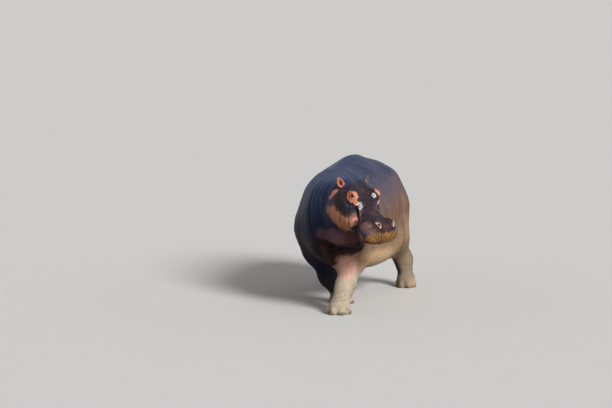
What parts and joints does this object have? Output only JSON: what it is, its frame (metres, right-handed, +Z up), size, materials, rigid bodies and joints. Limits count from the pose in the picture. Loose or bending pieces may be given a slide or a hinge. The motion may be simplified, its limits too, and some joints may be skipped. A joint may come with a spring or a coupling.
{
  "type": "hippopotamus",
  "caption": "Life-size common hippopotamus standing in mid-stride with its head turned to its left, a still museum model.",
  "frame": {"origin": "floor point under the middle of the bounding box", "axes": "+Z up; the hindquarters face -Y and the animal's own left side is +X; the head is turned towards +X"},
  "size_m": [1.4416, 2.8752, 1.4933],
  "materials": {
    "hide": "wet, bare, dark purplish brown hide with fine creases, pinker in the folds and round the eyes and ears",
    "pale_hide": "bare, greyish pink hide of the legs, dry and matt towards the feet",
    "nail": "pale, blunt horn of the toe nails",
    "eye": "wet, dark brown eyeball"
  },
  "bodies": {
    "root": {"trunk": "hide", "neck": "hide", "head": "hide", "lower_jaw": "hide", "tail": "hide", "ear_L": "hide", "ear_R": "hide", "foreleg_L": "pale_hide", "foreleg_R": "pale_hide", "forefoot_L": "pale_hide", "forefoot_R": "pale_hide", "hindleg_L": "pale_hide", "hindleg_R": "pale_hide", "hindfoot_L": "pale_hide", "hindfoot_R": "pale_hide", "nail_fore_L1": "nail", "nail_fore_L2": "nail", "nail_fore_L3": "nail", "nail_fore_L4": "nail", "nail_fore_R1": "nail", "nail_fore_R2": "nail", "nail_fore_R3": "nail", "nail_fore_R4": "nail", "nail_hind_L1": "nail", "nail_hind_L2": "nail", "nail_hind_L3": "nail", "nail_hind_L4": "nail", "nail_hind_R1": "nail", "nail_hind_R2": "nail", "nail_hind_R3": "nail", "nail_hind_R4": "nail", "eye_L": "eye", "eye_R": "eye"}
  },
  "joints": []
}
